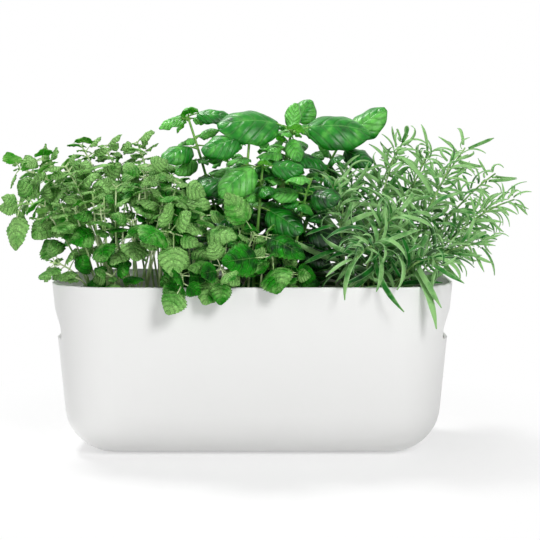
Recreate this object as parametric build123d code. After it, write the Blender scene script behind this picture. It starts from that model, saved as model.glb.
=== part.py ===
# indoor herb planter: a white tub that holds water, a planted liner that lifts out of it,
# and three herbs that grow in the liner
#
# the origin is the centre of the tub's underside, +Z is up, +X runs along the tub
# and the front faces -Y, all in millimetres
from build123d import *
import math
import os
import random

# tub
tub_length = 390.0
tub_depth = 184.0
tub_height = 168.0
tub_corner = 62.0
tub_wall = 3.0
tub_floor = 3.0
tub_bottom_round = 48.0
tub_rim_round = 1.2

# both walls lean out by this run over this rise
lean_run = 8.6
lean_rise = 100.0
lean = lean_run / lean_rise
lean_angle = math.degrees(math.atan(lean))

# hand grips, one hole through each end of the tub
grip_width = 118.0
grip_below_rim = 54.0
grip_side = 8.0
grip_arch = 30.0
grip_corner = 5.0

# liner
liner_wall = 2.0
liner_floor = 2.0
liner_below_rim = 6.0
liner_gap = 0.8
liner_corner = 45.0
liner_bottom_round = 14.0
liner_rim_round = 0.8
fill_channel = 22.0
water_depth = 43.0

# wells, which carry the liner and dip into the water
well_count = 3
well_pitch_share = 0.295
well_top_radius = 24.0
well_foot_radius = 20.0
slit_count = 6
slit_width = 3.0
slit_height = 24.0

# drain holes in the liner's floor
drain_radius = 2.0
drain_margin = 8.0
drain_rows = 3
drain_columns = 4

# potting mix and root balls
headroom = 16.0
mix_gap = 0.3
ball_count = 3
ball_spacing = 14.5
ball_taper = 8.0
ball_bed = 14.0

# crown: how far the herbs reach past the tub's ends and its front, and above the mix
crown_past_ends = 90.0
crown_past_front = 26.0
crown_rise = 210.0

# lemon balm
balm_leaf_length = 40.0
balm_leaf_width = 32.5
balm_leaf_thickness = 0.8
balm_stem_radius = 1.15

# basil
basil_leaf_length = 60.0
basil_leaf_width = 38.0
basil_leaf_thickness = 1.0
basil_stem_radius = 1.8

# rosemary
needle_length = 60.0
needle_width = 5.4
needle_thickness = 1.2
sprig_stem_radius = 1.2

# room that growth keeps: how near a leaf may come to what has grown before it, and the
# strip along the back of the mix that stays bare, for water to be poured on
balm_room = 3.4
basil_room = 3.6
needle_room = 1.9
stalk_room = 1.8
stem_room = 1.0
stem_step = 3.0
water_strip = 24.0
channel_strip = 40.0
channel_headroom = 14.0
seat_gap = 0.3
overrun = 5.0

# how growth varies: shares of a leaf's usual length, bend and droop, and angles in radians
stem_taper_share = 0.3
top_pair_share = 0.98
base_size_share = 0.8
middle_swell_share = 0.35
middle_start_share = 0.2
top_loss_share = 0.25
length_range_shares = (0.85, 1.2)
bend_range_shares = (0.5, 1.2)
sag_range_shares = (0.3, 1.6)
turn_range = 0.6
lift_range = 0.25
retry_share = 0.88
tries = 6
steep_share = 0.75
stalk_point_shares = (0.25, 0.5, 0.75)
run_parts = 40
ring_count = 7
growth_seed = 7

# levels and half sizes that follow from these
mouth_top = tub_height
grip_sill = tub_height - grip_below_rim
liner_top = tub_height - liner_below_rim
liner_seat = tub_floor
liner_base = tub_floor + water_depth
liner_height = liner_top - liner_base
liner_half_depth = tub_depth / 2 - tub_wall - liner_gap - liner_below_rim * lean
liner_half_length = tub_length / 2 - tub_wall - fill_channel - liner_below_rim * lean
mix_base = liner_base + liner_floor
mix_top = liner_top - headroom
mix_half_length = liner_half_length - liner_wall - mix_gap - headroom * lean
mix_half_depth = liner_half_depth - liner_wall - mix_gap - headroom * lean
well_pitch = 2 * liner_half_length * well_pitch_share
drain_pitch = (well_pitch - 2 * well_top_radius - 2 * drain_margin) / (drain_columns - 1)
ball_base = mix_base + ball_bed
ball_pitch = 2 * mix_half_length / ball_count
ball_top_radius = (ball_pitch - ball_spacing) / 2
ball_foot_radius = ball_top_radius - ball_taper
crown_reach = tub_length / 2 + crown_past_ends
crown_spread = tub_depth / 2 + crown_past_front


# tub-shaped block with its mouth at a given height: leaning walls, round plan corners
# and a lower edge as round as those corners leave room for
def block(length, depth, height, corner, bottom_round, top):
    plan = Pos(0, 0, top) * RectangleRounded(length, depth, corner)
    body = extrude(plan, amount=-height, taper=lean_angle)
    foot_corner = corner - height * lean
    return fillet(body.edges().group_by(Axis.Z)[0], min(bottom_round, foot_corner))


# the same block drawn in by a wall, with its floor raised
def hollow(length, depth, height, corner, bottom_round, top, side, floor):
    return block(length - 2 * side, depth - 2 * side, height - floor,
                 corner - side, bottom_round - side, top)


def upright_cone(foot_radius, top_radius, foot, top):
    height = top - foot
    return Pos(0, 0, foot + height / 2) * Cone(foot_radius, top_radius, height)


def spaced(count, pitch):
    return [Pos((number - (count - 1) / 2) * pitch, 0, 0) for number in range(count)]


# arched opening that runs through both ends of the tub
def grip_cutter():
    half = grip_width / 2
    spring = grip_sill + grip_side
    with BuildSketch(Plane.YZ) as outline:
        with BuildLine():
            Line((half, spring), (half, grip_sill))
            Line((half, grip_sill), (-half, grip_sill))
            Line((-half, grip_sill), (-half, spring))
            EllipticalCenterArc((0, spring), half, grip_arch, start_angle=0, arc_size=180)
        make_face()
        low = outline.vertices().group_by(Axis.Y)[0]
        fillet(low, grip_corner)
    return extrude(outline.sketch, amount=tub_length / 2 + overrun, both=True)


def outer_tub():
    body = block(tub_length, tub_depth, tub_height, tub_corner, tub_bottom_round, mouth_top)
    body -= hollow(tub_length, tub_depth, tub_height, tub_corner, tub_bottom_round,
                   mouth_top, tub_wall, tub_floor)
    body = fillet(body.edges().group_by(Axis.Z)[-1], tub_rim_round)
    return body - grip_cutter()


def well_slits():
    middle = liner_seat + liner_floor + slit_height / 2 + slit_width
    slit = Pos(0, 0, middle) * Box(2 * well_top_radius + overrun, slit_width, slit_height)
    turn = 180 / (slit_count / 2)
    return [Rot(0, 0, turn * number) * slit for number in range(slit_count // 2)]


def drain_holes():
    bay = well_pitch / 2
    hole = Pos(0, 0, liner_base + liner_floor / 2) * Cylinder(drain_radius, 2 * liner_floor)
    holes = []
    for side in (-bay, bay):
        for column in range(drain_columns):
            x = side + (column - (drain_columns - 1) / 2) * drain_pitch
            for row in range(drain_rows):
                y = (row - (drain_rows - 1) / 2) * 2 * drain_pitch
                holes.append(Pos(x, y, 0) * hole)
    return holes


def liner():
    length = 2 * liner_half_length
    depth = 2 * liner_half_depth
    body = block(length, depth, liner_height, liner_corner, liner_bottom_round, liner_top)
    well = upright_cone(well_foot_radius, well_top_radius, liner_seat, mix_base)
    for place in spaced(well_count, well_pitch):
        body += place * well
    body -= hollow(length, depth, liner_height, liner_corner, liner_bottom_round,
                   liner_top, liner_wall, liner_floor)
    body = fillet(body.edges().group_by(Axis.Z)[-1], liner_rim_round)
    bore = upright_cone(well_foot_radius - liner_wall, well_top_radius - liner_wall,
                        liner_seat + liner_floor, mix_base)
    for place in spaced(well_count, well_pitch):
        body -= place * bore
        for slit in well_slits():
            body -= place * slit
    for hole in drain_holes():
        body -= hole
    return body


def root_ball():
    return upright_cone(ball_foot_radius, ball_top_radius, ball_base, mix_top)


def potting_mix():
    inset = liner_wall + mix_gap
    body = block(2 * mix_half_length, 2 * mix_half_depth, mix_top - mix_base,
                 liner_corner - inset - headroom * lean, liner_bottom_round - inset, mix_top)
    plug = upright_cone(well_foot_radius - inset, well_top_radius - inset,
                        liner_seat + liner_floor, mix_base + mix_gap)
    for place in spaced(well_count, well_pitch):
        body += place * plug
    pocket = upright_cone(ball_foot_radius + mix_gap, ball_top_radius + mix_gap,
                          ball_base, mix_top)
    for place in spaced(ball_count, ball_pitch):
        body -= place * pocket
    return body


# small sums on points and directions, kept as plain triples
def added(a, b):
    return tuple(p + q for p, q in zip(a, b))


def less(a, b):
    return tuple(p - q for p, q in zip(a, b))


def scaled(a, size):
    return tuple(p * size for p in a)


def dot(a, b):
    return sum(p * q for p, q in zip(a, b))


def cross(a, b):
    return (a[1] * b[2] - a[2] * b[1], a[2] * b[0] - a[0] * b[2], a[0] * b[1] - a[1] * b[0])


def unit(a):
    return scaled(a, 1 / math.sqrt(dot(a, a)))


def square_to(a, axis):
    return unit(less(a, scaled(axis, dot(a, axis))))


def mixed(a, a_share, b, b_share):
    return added(scaled(a, a_share), scaled(b, b_share))


# directions, and how much of each a leaf's face takes: a steep leaf of its stem's heading
# and its own way out, a flat one of straight up, of its stem's heading and of its way out
above = (0, 0, 1)
along_tub = (1, 0.2, 0.1)
towards_light = (0, -0.65, 0.1)
steep_face_shares = (0.5, -0.8)
flat_face_shares = (0.8, 0.4, -0.1)


# distance of a point from a leaning round-cornered wall, below zero inside it
def wall_distance(point, half_length, half_depth, corner, top):
    drawn_in = (top - point[2]) * lean
    radius = corner - drawn_in
    past_x = abs(point[0]) - (half_length - drawn_in - radius)
    past_y = abs(point[1]) - (half_depth - drawn_in - radius)
    beyond = math.hypot(max(past_x, 0), max(past_y, 0))
    return beyond + min(max(past_x, past_y), 0) - radius


# growth stays off the tub, the liner and the mix, and what hangs outside stays clear
# of the mouth, which it passes as the liner lifts
def clear_of_tub(point, gap):
    x, y, z = point
    if abs(x) > liner_half_length - seat_gap and abs(y) < channel_strip:
        return z > mouth_top + channel_headroom
    if z > tub_height + gap:
        return True
    outside = wall_distance((x, y, mouth_top), tub_length / 2, tub_depth / 2,
                            tub_corner, mouth_top)
    if outside > gap:
        return z > gap
    inside = wall_distance(point, liner_half_length, liner_half_depth, liner_corner, liner_top)
    lowest = liner_top if y > mix_half_depth - water_strip else mix_top
    return inside < -(liner_wall + gap) and z > lowest + gap


# grown points by cell, each with its room and what it belongs to
grown = {}
cell_size = 2 * max(balm_room, basil_room, needle_room, 2 * basil_stem_radius + stem_room)


def cell_of(point):
    return tuple(math.floor(part / cell_size) for part in point)


def has_room(points, room, owner=None):
    for point in points:
        if not clear_of_tub(point, room / 2):
            return False
        middle = cell_of(point)
        for step in near_cells:
            for other, other_room, other_owner in grown.get(added(middle, step), ()):
                if other_owner != owner and math.dist(point, other) < (room + other_room) / 2:
                    return False
    return True


near_cells = [(x, y, z) for x in (-1, 0, 1) for y in (-1, 0, 1) for z in (-1, 0, 1)]


def take_room(points, room, owner):
    for point in points:
        grown.setdefault(cell_of(point), []).append((point, room, owner))


# stem: it rises from its root towards a knee and bends over to its tip
def stem_point(stem, t):
    root, knee, tip = stem
    first = mixed(root, (1 - t) ** 2, knee, 2 * t * (1 - t))
    return added(first, scaled(tip, t * t))


def stem_heading(stem, t):
    root, knee, tip = stem
    return unit(mixed(less(knee, root), 1 - t, less(tip, knee), t))


def stem_run(stem):
    points = [stem_point(stem, part / run_parts) for part in range(run_parts + 1)]
    return sum(math.dist(p, q) for p, q in zip(points, points[1:]))


# leaf: its base, the way its tip lies, the way it faces, its size, bend and cup
class Leaf:
    def __init__(self, base, ahead, face, length, width, bend, cup):
        face = square_to(face, ahead)
        self.base = base
        self.length = length
        self.width = width
        self.bend = bend
        self.cup = cup
        self.ahead = mixed(ahead, math.cos(bend / 2), face, math.sin(bend / 2))
        self.face = mixed(face, math.cos(bend / 2), ahead, -math.sin(bend / 2))
        self.side = cross(self.face, self.ahead)

    # point on the midrib with the midrib's heading and the blade's facing there
    def spine(self, share):
        turn = self.bend * share
        run = self.length * math.sin(turn) / self.bend
        fall = self.length * (1 - math.cos(turn)) / self.bend
        point = added(self.base, mixed(self.ahead, run, self.face, -fall))
        heading = mixed(self.ahead, math.cos(turn), self.face, -math.sin(turn))
        facing = mixed(self.ahead, math.sin(turn), self.face, math.cos(turn))
        return point, heading, facing

    # point on the blade, across from the midrib by a share of the half width there
    def blade(self, share, across, half):
        point, heading, facing = self.spine(share)
        drop = self.cup * half * across * across
        return added(point, mixed(self.side, half * across, facing, -drop))


# half width of each blade along it, both as shares, the stalk first
balm_outline_shares = ((0.0, 0.05), (0.24, 0.05), (0.34, 0.72), (0.5, 1.0),
                       (0.72, 0.8), (0.9, 0.36), (1.0, 0.04))
basil_outline_shares = ((0.0, 0.05), (0.14, 0.05), (0.28, 0.62), (0.5, 1.0),
                        (0.74, 0.84), (0.91, 0.42), (1.0, 0.04))
needle_outline_shares = ((0.0, 0.4), (0.16, 0.85), (0.45, 1.0), (0.74, 0.95), (1.0, 0.12))


def half_width_share(outline, share):
    for (near, near_width), (far, far_width) in zip(outline, outline[1:]):
        if share <= far:
            return near_width + (far_width - near_width) * (share - near) / (far - near)
    return 0.0


# habit of a herb: sizes of its leaves, and how they stand on the stem
class Habit:
    def __init__(self, leaf_length, leaf_width, thickness, stem_radius, room, outline_shares,
                 stalk_share, bend, cup, pairs, first_share, spread, gain, sag, roll, wander):
        self.leaf_length = leaf_length
        self.width_share = leaf_width / leaf_length
        self.thickness = thickness
        self.stem_radius = stem_radius
        self.room = room
        self.outline_shares = outline_shares
        self.stalk_share = stalk_share
        self.bend = bend
        self.cup = cup
        self.pairs = pairs
        self.first_share = first_share
        self.spread = spread
        self.gain = gain
        self.sag = sag
        self.roll = roll
        self.wander = wander

    def radius_at(self, t):
        return self.stem_radius * (1 - stem_taper_share * t)

    def blade_points(self, leaf):
        start = self.stalk_share
        rows = max(3, round(leaf.length * (1 - start) / self.room))
        points = []
        for row in range(rows + 1):
            share = start + (1 - start) * row / rows
            half = leaf.width / 2 * half_width_share(self.outline_shares, share)
            gaps = max(1, round(2 * half / self.room))
            if gaps == 1:
                points.append(leaf.blade(share, 0, half))
                continue
            for place in range(gaps + 1):
                points.append(leaf.blade(share, 2 * place / gaps - 1, half))
        return points

    def stalk_points(self, leaf):
        return [leaf.spine(self.stalk_share * share)[0] for share in stalk_point_shares]


lemon_balm = Habit(balm_leaf_length, balm_leaf_width, balm_leaf_thickness, balm_stem_radius,
                   balm_room, balm_outline_shares, stalk_share=0.28, bend=0.7, cup=0.25,
                   pairs=5, first_share=0.60, spread=0.15, gain=0.35, sag=0.35, roll=0.5,
                   wander=1.0)
basil = Habit(basil_leaf_length, basil_leaf_width, basil_leaf_thickness, basil_stem_radius,
              basil_room, basil_outline_shares, stalk_share=0.20, bend=1.1, cup=0.5,
              pairs=5, first_share=0.30, spread=0.10, gain=0.35, sag=0.55, roll=0.5,
              wander=1.0)
rosemary = Habit(needle_length, needle_width, needle_thickness, sprig_stem_radius,
                 needle_room, needle_outline_shares, stalk_share=0.12, bend=2.4, cup=0.0,
                 pairs=12, first_share=0.12, spread=0.45, gain=0.30, sag=0.15, roll=1.5,
                 wander=2.2)

# shoots: root as shares of the mix's half length and half depth, knee and tip as shares
# of the crown's reach, spread and rise, and the share of their usual size that its leaves
# have
balm_shoot_shares = [
    ((-0.91, -0.21), (-0.60, -0.20, 0.50), (-0.79, -0.25, 0.46), 0.95),
    ((-0.86, 0.14), (-0.56, 0.12, 0.55), (-0.83, 0.17, 0.62), 0.95),
    ((-0.89, -0.03), (-0.58, -0.05, 0.50), (-0.72, -0.17, 0.67), 0.95),
    ((-0.79, -0.35), (-0.55, -0.30, 0.45), (-0.63, -0.34, 0.64), 0.95),
    ((-0.76, 0.17), (-0.50, 0.12, 0.50), (-0.60, 0.08, 0.73), 0.95),
    ((-0.65, 0.35), (-0.42, 0.25, 0.50), (-0.53, 0.25, 0.72), 0.95),
    ((-0.57, 0.14), (-0.33, 0.12, 0.50), (-0.41, 0.17, 0.75), 1.0),
    ((-0.57, -0.39), (-0.36, -0.40, 0.40), (-0.36, -0.50, 0.64), 1.0),
    ((-0.77, -0.49), (-0.50, -0.50, 0.30), (-0.50, -0.60, 0.46), 0.85),
    ((-0.65, -0.53), (-0.40, -0.60, 0.30), (-0.39, -0.68, 0.40), 0.9),
    ((-0.74, -0.56), (-0.45, -0.55, 0.16), (-0.47, -0.66, 0.15), 0.8),
    ((-0.90, -0.50), (-0.60, -0.42, 0.20), (-0.68, -0.46, 0.20), 0.8),
    ((-0.86, 0.49), (-0.55, 0.40, 0.40), (-0.72, 0.55, 0.55), 0.85),
    ((-0.72, 0.59), (-0.45, 0.50, 0.50), (-0.52, 0.62, 0.62), 0.9),
    ((-0.58, 0.53), (-0.33, 0.50, 0.45), (-0.30, 0.60, 0.60), 0.95),
    ((-0.79, 0.65), (-0.48, 0.70, 0.30), (-0.50, 0.86, 0.20), 0.9),
    ((-0.62, -0.67), (-0.34, -0.60, 0.25), (-0.24, -0.60, 0.57), 1.0),
    ((-0.53, -0.70), (-0.31, -0.72, 0.42), (-0.25, -0.80, 0.34), 1.0),
    ((-0.34, -0.56), (-0.20, -0.55, 0.35), (-0.16, -0.60, 0.42), 1.0),
    ((-0.14, -0.59), (-0.04, -0.55, 0.20), (0.01, -0.64, 0.34), 1.0),
    ((0.10, -0.59), (0.08, -0.75, 0.28), (0.06, -0.80, 0.24), 1.0),
    ((-0.21, -0.70), (-0.11, -0.75, 0.28), (-0.09, -0.93, 0.17), 0.9),
    ((-0.40, -0.70), (-0.23, -0.72, 0.24), (-0.22, -0.95, 0.13), 0.9),
]
basil_shoot_shares = [
    ((0.09, 0.00), (0.08, 0.00, 0.50), (0.135, -0.03, 0.80), 0.9),
    ((-0.09, -0.14), (-0.03, -0.15, 0.45), (-0.01, -0.21, 0.76), 1.0),
    ((-0.10, 0.17), (-0.14, 0.14, 0.50), (-0.23, 0.17, 0.87), 0.85),
    ((0.00, -0.35), (0.02, -0.32, 0.40), (0.035, -0.30, 0.64), 0.95),
    ((0.14, 0.28), (0.10, 0.30, 0.55), (0.14, 0.40, 0.82), 0.9),
    ((0.21, 0.14), (0.20, 0.15, 0.50), (0.31, 0.28, 0.74), 0.95),
    ((0.00, 0.42), (-0.05, 0.40, 0.40), (-0.10, 0.60, 0.68), 1.0),
    ((0.22, -0.17), (0.15, -0.30, 0.40), (0.20, -0.35, 0.58), 0.85),
    ((0.17, 0.46), (0.16, 0.45, 0.35), (0.28, 0.60, 0.55), 0.9),
    ((-0.21, 0.39), (-0.18, 0.35, 0.35), (-0.26, 0.50, 0.50), 0.9),
]
rosemary_sprig_shares = [
    ((0.69, 0.00), (0.42, 0.00, 0.45), (0.51, 0.08, 0.72), 1.0),
    ((0.62, 0.21), (0.40, 0.20, 0.50), (0.55, 0.25, 0.78), 0.95),
    ((0.77, 0.11), (0.50, 0.08, 0.40), (0.62, 0.10, 0.70), 1.0),
    ((0.81, -0.14), (0.56, -0.15, 0.30), (0.68, -0.25, 0.66), 1.1),
    ((0.83, 0.14), (0.60, 0.10, 0.45), (0.74, 0.02, 0.72), 0.9),
    ((0.86, 0.00), (0.68, 0.00, 0.45), (0.84, -0.08, 0.60), 0.8),
    ((0.89, -0.17), (0.70, -0.15, 0.40), (0.90, -0.17, 0.48), 0.8),
    ((0.86, -0.35), (0.62, -0.35, 0.30), (0.80, -0.35, 0.28), 0.85),
    ((0.69, -0.42), (0.45, -0.60, 0.40), (0.34, -0.85, 0.24), 1.15),
    ((0.57, -0.28), (0.30, -0.35, 0.40), (0.27, -0.38, 0.55), 1.05),
    ((0.62, -0.49), (0.40, -0.50, 0.35), (0.48, -0.60, 0.42), 1.15),
    ((0.77, -0.53), (0.55, -0.60, 0.30), (0.62, -0.70, 0.20), 1.0),
    ((0.72, 0.49), (0.50, 0.45, 0.45), (0.62, 0.60, 0.60), 1.0),
    ((0.60, 0.53), (0.36, 0.50, 0.40), (0.36, 0.65, 0.60), 1.0),
    ((0.86, 0.42), (0.65, 0.40, 0.30), (0.85, 0.45, 0.42), 0.9),
    ((0.81, 0.59), (0.55, 0.70, 0.25), (0.60, 0.88, 0.15), 0.95),
    ((0.55, 0.07), (0.30, 0.05, 0.40), (0.33, 0.00, 0.62), 1.0),
]

# leaves set one by one: which shoot, how far up it, the leaf's tip as shares of the crown,
# its width as a share of its length, the way it faces, and its bend
balm_leaf_shares = [
    (0, 1.00, (-0.80, -0.38, 0.25), 0.62, (-0.5, -0.8, 0.2), 0.7),
    (0, 0.96, (-0.87, -0.22, 0.44), 0.75, (-0.2, -0.8, 0.5), 0.6),
    (9, 1.00, (-0.37, -0.76, 0.325), 0.90, (0.0, -0.9, 0.4), 0.4),
    (19, 1.00, (-0.085, -0.70, 0.52), 0.62, (0.3, -0.9, 0.3), 0.4),
    (19, 0.98, (0.175, -0.78, 0.235), 0.60, (0.2, -0.7, 0.8), 0.8),
    (20, 1.00, (-0.095, -0.94, 0.225), 0.74, (0.0, -0.95, 0.35), 0.4),
    (17, 1.00, (-0.25, -0.92, 0.16), 0.75, (0.1, -1.0, 0.3), 0.4),
    (21, 1.00, (-0.10, -0.97, 0.04), 0.75, (0.2, -1.0, 0.2), 0.3),
    (22, 1.00, (-0.27, -0.99, 0.00), 0.85, (-0.1, -1.0, 0.3), 0.4),
]
basil_leaf_shares = [
    (0, 1.00, (-0.12, -0.23, 0.82), 0.62, (-0.1, -0.75, 0.7), 1.2),
    (0, 0.99, (0.41, 0.00, 0.79), 0.60, (0.1, -0.75, 0.7), 1.1),
    (0, 0.98, (0.15, 0.06, 0.93), 0.55, (0.2, -0.95, 0.2), 0.4),
    (0, 0.97, (0.155, -0.20, 0.655), 0.60, (0.3, -0.9, 0.3), 0.6),
    (1, 1.00, (-0.17, -0.33, 0.70), 0.62, (-0.1, -0.8, 0.6), 1.0),
    (2, 1.00, (-0.07, 0.10, 0.86), 0.50, (0.1, -0.7, 0.8), 0.9),
    (2, 0.98, (-0.33, 0.13, 0.81), 0.52, (-0.1, -0.6, 0.8), 1.4),
    (2, 0.80, (-0.31, -0.10, 0.66), 0.62, (-0.2, -0.8, 0.6), 1.1),
    (3, 1.00, (-0.11, -0.46, 0.50), 0.66, (-0.1, -0.8, 0.6), 1.2),
    (4, 1.00, (0.21, 0.45, 0.95), 0.80, (0.0, -0.8, 0.5), 0.9),
    (5, 1.00, (0.47, 0.30, 0.91), 0.60, (-0.2, -0.8, 0.6), 0.6),
    (5, 0.95, (0.42, 0.12, 0.64), 0.60, (0.1, -0.8, 0.5), 0.8),
]
rosemary_leaf_shares = [
    (8, 0.60, (0.49, -0.97, 0.01), 0.085, (-0.8, -0.5, 0.2), 1.1),
    (8, 0.50, (0.47, -0.88, 0.10), 0.10, (0.7, -0.3, 0.5), 2.5),
    (8, 0.62, (0.40, -0.99, 0.10), 0.10, (0.6, -0.6, 0.3), 1.2),
    (8, 0.80, (0.30, -0.95, 0.06), 0.10, (-0.6, -0.6, 0.3), 1.4),
    (8, 1.00, (0.24, -0.90, 0.16), 0.11, (0.0, -0.6, 0.8), 0.9),
]


def root_place(x_share, y_share):
    return (x_share * mix_half_length, y_share * mix_half_depth, mix_top)


def crown_place(x_share, y_share, z_share):
    return (x_share * crown_reach, y_share * crown_spread, mix_top + z_share * crown_rise)


# shoot: its node's name, its herb's habit, its stem and its leaves
class Shoot:
    def __init__(self, name, habit, root, knee, tip, size_share):
        self.name = name
        self.size_share = size_share
        self.habit = habit
        self.stem = (root_place(*root), crown_place(*knee), crown_place(*tip))
        self.leaves = []
        steps = round(stem_run(self.stem) / stem_step)
        points = [stem_point(self.stem, step / steps) for step in range(steps + 1)]
        take_room(points, 2 * habit.stem_radius + stem_room, name)

    # seat at the stem's side, towards a direction square to the stem
    def seat(self, t, out):
        reach = self.habit.radius_at(t) + seat_gap
        return added(stem_point(self.stem, t), scaled(out, reach))

    def leaf(self, base, ahead, face, length, width_share, bend):
        return Leaf(base, ahead, face, length, length * width_share, bend, self.habit.cup)

    def keep(self, leaf):
        take_room(self.habit.blade_points(leaf), self.habit.room, leaf)
        take_room(self.habit.stalk_points(leaf), stalk_room, leaf)
        self.leaves.append(leaf)

    def fits(self, leaf):
        if not has_room(self.habit.blade_points(leaf), self.habit.room):
            return False
        return has_room(self.habit.stalk_points(leaf), stalk_room, self.name)

    def set_leaf(self, t, tip, width_share, face, bend):
        goal = crown_place(*tip)
        out = square_to(less(goal, stem_point(self.stem, t)), stem_heading(self.stem, t))
        base = self.seat(t, out)
        length = math.dist(base, goal) * (bend / 2) / math.sin(bend / 2)
        self.keep(self.leaf(base, unit(less(goal, base)), face, length, width_share, bend))

    # size of the leaves at a share of the way from the lowest pair to the top one
    def size_at(self, share):
        middle = math.sin(math.pi * min(1, share + middle_start_share))
        swell = base_size_share + middle_swell_share * middle
        return self.habit.leaf_length * self.size_share * swell * (1 - top_loss_share * share)

    # way a leaf faces that sets off ahead from a stem with this heading
    def face_of(self, ahead, out, heading):
        if dot(ahead, above) > steep_share:
            face = mixed(heading, steep_face_shares[0], out, steep_face_shares[1])
        else:
            face = mixed(above, flat_face_shares[0], heading, flat_face_shares[1])
            face = added(face, scaled(out, flat_face_shares[2]))
        return square_to(added(face, towards_light), ahead)

    # opposite pairs up the stem, each a quarter turn on from the last;
    # a leaf that meets another is turned and shortened, and at last left off
    def grow_pairs(self, draws):
        habit = self.habit
        phase = draws.uniform(0, math.pi)
        for pair in range(habit.pairs):
            share = pair / (habit.pairs - 1)
            t = habit.first_share + (1 - habit.first_share) * share * top_pair_share
            heading = stem_heading(self.stem, t)
            side = square_to(along_tub, heading)
            other = cross(heading, side)
            for half_turn in (0, math.pi):
                length = self.size_at(share) * draws.uniform(*length_range_shares)
                bend = habit.bend * draws.uniform(*bend_range_shares)
                for attempt in range(tries):
                    turn = phase + pair * math.pi / 2 + half_turn
                    turn += habit.wander * draws.uniform(-turn_range, turn_range)
                    out = mixed(side, math.cos(turn), other, math.sin(turn))
                    lift = habit.spread + habit.gain * share
                    lift += habit.wander * draws.uniform(-lift_range, lift_range)
                    sag = habit.sag * draws.uniform(*sag_range_shares)
                    ahead = mixed(out, math.cos(lift), heading, math.sin(lift))
                    ahead = unit(mixed(ahead, 1, above, -sag))
                    face = self.face_of(ahead, out, heading)
                    roll = habit.roll * draws.uniform(-1, 1)
                    face = mixed(face, math.cos(roll), cross(ahead, face), math.sin(roll))
                    leaf = self.leaf(self.seat(t, out), ahead, face, length,
                                     habit.width_share, bend)
                    if self.fits(leaf):
                        self.keep(leaf)
                        break
                    length *= retry_share


def grow():
    herbs = [("lemon_balm_shoot", lemon_balm, balm_shoot_shares, balm_leaf_shares),
             ("basil_shoot", basil, basil_shoot_shares, basil_leaf_shares),
             ("rosemary_sprig", rosemary, rosemary_sprig_shares, rosemary_leaf_shares)]
    shoots = []
    placed = []
    for name, habit, shoot_shares, leaf_shares in herbs:
        first = len(shoots)
        for number, row in enumerate(shoot_shares):
            shoots.append(Shoot(f"{name}_{number + 1:02d}", habit, *row))
        for number, *row in leaf_shares:
            placed.append((shoots[first + number], row))
    for shoot, row in placed:
        shoot.set_leaf(*row)
    draws = random.Random(growth_seed)
    for shoot in shoots:
        shoot.grow_pairs(draws)
    return shoots


# round stem through circles square to it, its foot cut level on the mix
def stem_solid(shoot):
    root, knee, tip = shoot.stem
    across = cross(less(knee, root), less(tip, knee))
    circles = []
    for ring in range(ring_count + 1):
        t = ring / ring_count
        heading = above if ring == 0 else stem_heading(shoot.stem, t)
        plane = Plane(stem_point(shoot.stem, t), x_dir=across, z_dir=heading)
        circles.append(Wire.make_circle(shoot.habit.radius_at(t), plane))
    return Solid.make_loft(circles)


# thin blade through crescent sections that come to fine edges
def leaf_solid(leaf, habit):
    sections = []
    for share, width_share in habit.outline_shares:
        half = leaf.width / 2 * width_share
        spine, _, facing = leaf.spine(share)
        lift = scaled(facing, habit.thickness / 2)
        left = leaf.blade(share, 1, half)
        right = leaf.blade(share, -1, half)
        sections.append(Wire([Edge.make_three_point_arc(left, added(spine, lift), right),
                              Edge.make_three_point_arc(right, less(spine, lift), left)]))
    return Solid.make_loft(sections, ruled=True)


def shoot_solids(shoot):
    leaves = [leaf_solid(leaf, shoot.habit) for leaf in shoot.leaves]
    return Compound(children=[stem_solid(shoot)] + leaves)


os.makedirs("parts", exist_ok=True)
export_step(outer_tub(), "parts/outer_tub.step")
export_step(liner(), "parts/inner_liner.step")
export_step(potting_mix(), "parts/potting_mix.step")
for name, place in zip(("left", "middle", "right"), spaced(ball_count, ball_pitch)):
    export_step(place * root_ball(), f"parts/root_ball_{name}.step")
for shoot in grow():
    export_step(shoot_solids(shoot), f"parts/{shoot.name}.step")
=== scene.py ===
# indoor herb planter: a white tub, a planted liner that lifts out of it, and three herbs
#
# the herbs grow here by the same rules, sizes and draws as in the model, in millimetres,
# and their meshes are made in metres
import copy
import math
import random

import bpy
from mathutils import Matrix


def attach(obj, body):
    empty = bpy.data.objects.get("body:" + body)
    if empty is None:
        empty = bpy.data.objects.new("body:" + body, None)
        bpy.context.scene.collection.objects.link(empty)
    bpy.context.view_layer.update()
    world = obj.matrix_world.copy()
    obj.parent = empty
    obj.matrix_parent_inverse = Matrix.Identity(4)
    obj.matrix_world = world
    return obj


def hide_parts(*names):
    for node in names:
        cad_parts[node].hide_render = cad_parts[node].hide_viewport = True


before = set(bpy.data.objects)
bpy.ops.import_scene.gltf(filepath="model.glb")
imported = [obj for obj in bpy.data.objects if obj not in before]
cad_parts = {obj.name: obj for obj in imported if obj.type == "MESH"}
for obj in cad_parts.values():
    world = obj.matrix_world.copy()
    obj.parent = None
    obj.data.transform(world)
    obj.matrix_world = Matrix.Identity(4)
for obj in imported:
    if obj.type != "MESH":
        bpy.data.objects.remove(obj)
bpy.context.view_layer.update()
mm = 0.001

# tub, liner and mix, as in the model
tub_length = 390.0
tub_depth = 184.0
tub_height = 168.0
tub_corner = 62.0
tub_wall = 3.0
lean_run = 8.6
lean_rise = 100.0
lean = lean_run / lean_rise
liner_wall = 2.0
liner_below_rim = 6.0
liner_gap = 0.8
liner_corner = 45.0
fill_channel = 22.0
headroom = 16.0
mix_gap = 0.3

# crown: how far the herbs reach past the tub's ends and its front, and above the mix
crown_past_ends = 90.0
crown_past_front = 26.0
crown_rise = 210.0

# lemon balm
balm_leaf_length = 40.0
balm_leaf_width = 32.5
balm_stem_radius = 1.15

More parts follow.
